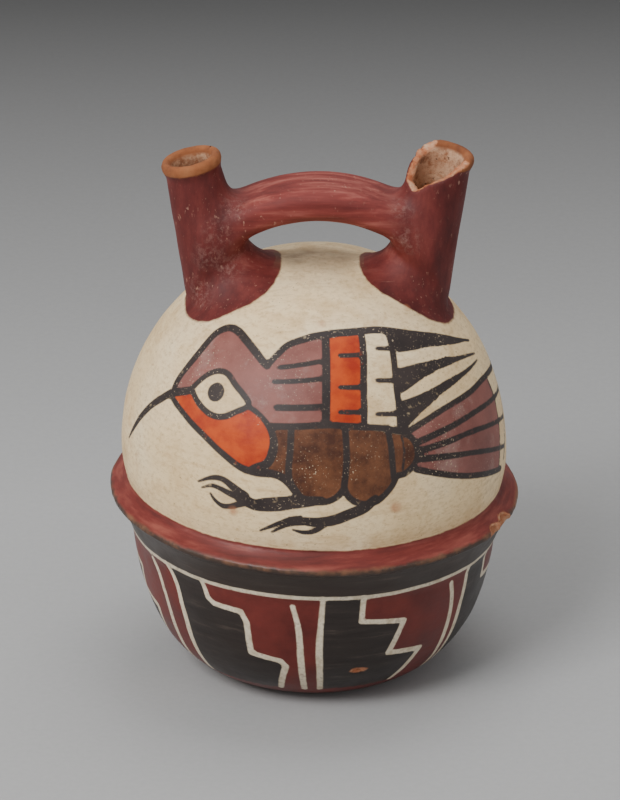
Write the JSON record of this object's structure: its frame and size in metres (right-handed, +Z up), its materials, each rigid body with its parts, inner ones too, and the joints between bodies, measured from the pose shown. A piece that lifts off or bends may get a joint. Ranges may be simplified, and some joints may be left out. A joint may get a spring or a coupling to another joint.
{
  "type": "double spout vessel",
  "caption": "Hollow slip-painted earthenware bottle: round bowl, projecting ledge, closed dome, a pair of leaning spouts joined by an arched bridge, with a broken lip.",
  "frame": {"origin": "middle of the flat underside that it stands on", "axes": "+Z up through the dome, -Y towards the painted front, +X towards the broken spout"},
  "size_m": [0.123, 0.123, 0.1635],
  "materials": {
    "painted_clay": "fired clay under burnished slip paint in cream, red, plum, orange, brown and black, worn"
  },
  "bodies": {
    "root": {"bowl": "painted_clay", "ledge": "painted_clay", "dome": "painted_clay", "whole_spout": "painted_clay", "bridge": "painted_clay", "broken_spout": "painted_clay"}
  },
  "joints": []
}
